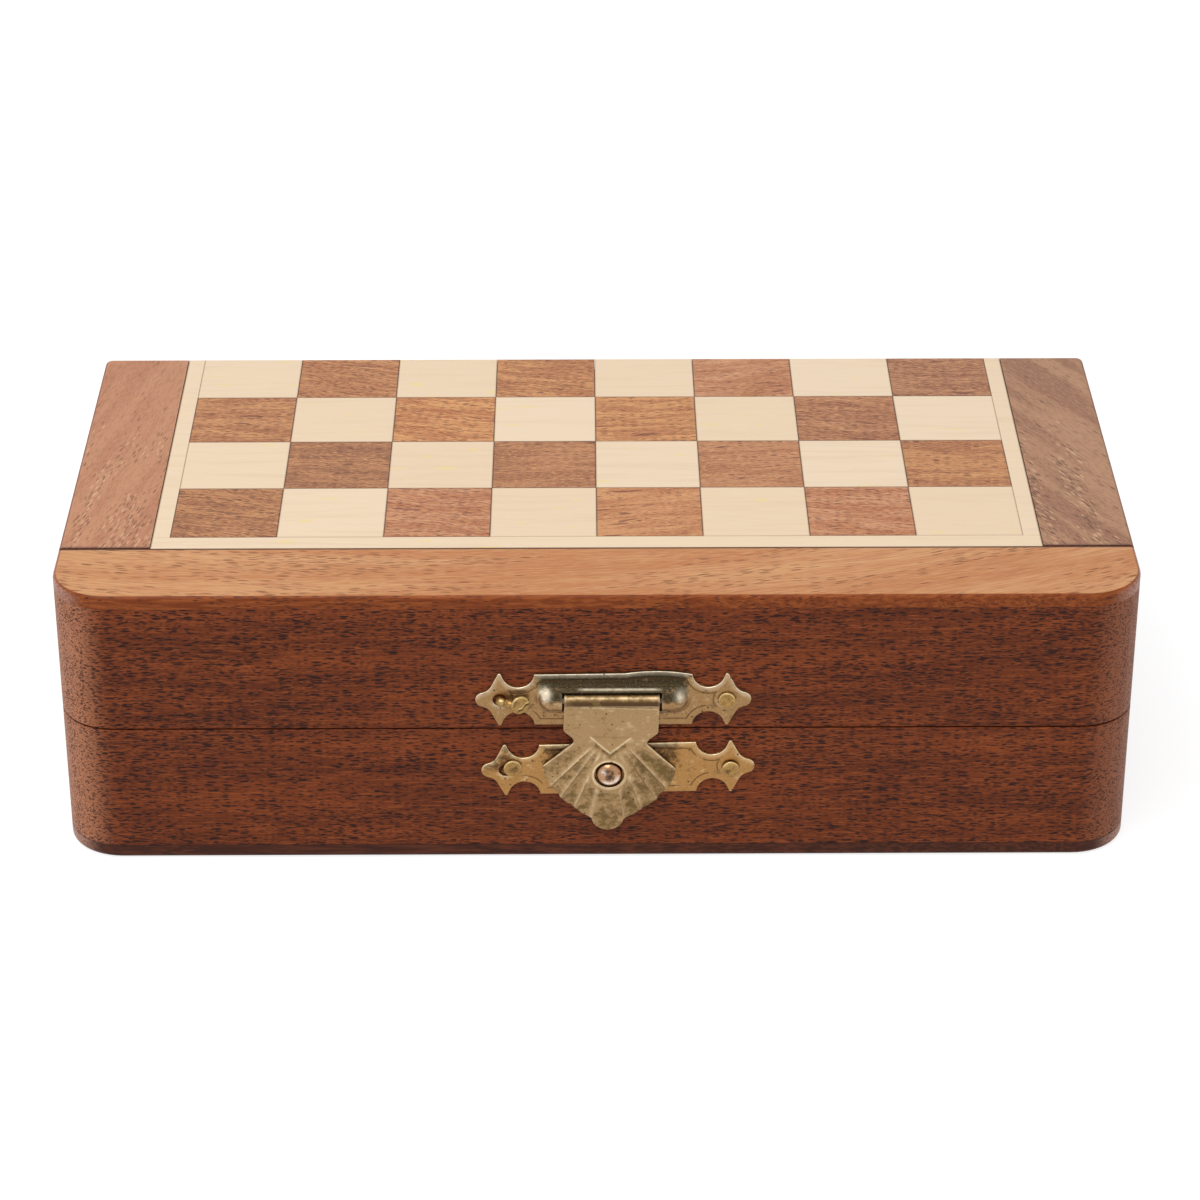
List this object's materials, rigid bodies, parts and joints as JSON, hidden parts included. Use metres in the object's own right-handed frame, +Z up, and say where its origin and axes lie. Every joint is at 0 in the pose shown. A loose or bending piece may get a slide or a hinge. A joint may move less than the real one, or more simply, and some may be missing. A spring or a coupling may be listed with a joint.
{
  "type": "folding chess box",
  "caption": "Small wooden folding chess box, its outside a chessboard in two halves, with hinges at the back and a brass hasp latch in front.",
  "frame": {"origin": "middle of the underside, halfway between the ends and between the front and back faces of the wood", "axes": "+X along the seam, to the right as seen from the latch; +Y from the latch to the hinges; +Z up"},
  "size_m": [0.1788, 0.0951, 0.05],
  "materials": {
    "walnut_wall": "satin",
    "border_wood": "satin",
    "dark_square_wood": "satin",
    "light_wood": "satin",
    "plywood": "matte",
    "green_felt": "matte",
    "antique_brass": "worn satin",
    "hinge_brass": "satin",
    "nail_brass": "satin",
    "plated_stud": "polished",
    "steel": "satin"
  },
  "bodies": {
    "base": {"base_front_wall": "walnut_wall", "base_back_wall": "walnut_wall", "base_left_wall": "walnut_wall", "base_right_wall": "walnut_wall", "base_backing_board": "plywood", "base_felt_lining": "green_felt", "base_front_border": "border_wood", "base_left_border": "border_wood", "base_right_border": "border_wood", "base_front_strip": "light_wood", "base_left_strip": "light_wood", "base_right_strip": "light_wood", "base_row_1_light_squares": "light_wood", "base_row_1_dark_squares": "dark_square_wood", "base_row_2_light_squares": "light_wood", "base_row_2_dark_squares": "dark_square_wood", "base_row_3_light_squares": "light_wood", "base_row_3_dark_squares": "dark_square_wood", "base_row_4_light_squares": "light_wood", "base_row_4_dark_squares": "dark_square_wood", "left_hinge_base_leaf": "hinge_brass", "right_hinge_base_leaf": "hinge_brass", "left_hinge_pin": "steel", "right_hinge_pin": "steel", "base_hinge_screws": "nail_brass", "lower_latch_plate": "antique_brass", "latch_stud": "plated_stud", "lower_plate_nails": "nail_brass"},
    "lid": {"lid_front_wall": "walnut_wall", "lid_back_wall": "walnut_wall", "lid_left_wall": "walnut_wall", "lid_right_wall": "walnut_wall", "lid_backing_board": "plywood", "lid_felt_lining": "green_felt", "lid_front_border": "border_wood", "lid_left_border": "border_wood", "lid_right_border": "border_wood", "lid_front_strip": "light_wood", "lid_left_strip": "light_wood", "lid_right_strip": "light_wood", "lid_row_1_light_squares": "light_wood", "lid_row_1_dark_squares": "dark_square_wood", "lid_row_2_light_squares": "light_wood", "lid_row_2_dark_squares": "dark_square_wood", "lid_row_3_light_squares": "light_wood", "lid_row_3_dark_squares": "dark_square_wood", "lid_row_4_light_squares": "light_wood", "lid_row_4_dark_squares": "dark_square_wood", "left_hinge_lid_leaf": "hinge_brass", "right_hinge_lid_leaf": "hinge_brass", "lid_hinge_screws": "nail_brass", "upper_latch_plate": "antique_brass", "latch_pin": "steel", "bent_nail": "nail_brass", "upper_plate_nail": "nail_brass"},
    "hasp": {"hasp": "antique_brass"}
  },
  "joints": [
    {"name": "lid_hinge", "type": "hinge", "parent": "base", "child": "lid", "pos_m": [0, 0.0453, 0.025], "axis": [-1, 0, 0], "range_deg": [0, 180]},
    {"name": "hasp_hinge", "type": "hinge", "parent": "lid", "child": "hasp", "pos_m": [0.00238, -0.04645, 0.0311], "axis": [-1, 0, 0], "range_deg": [0, 150]}
  ]
}
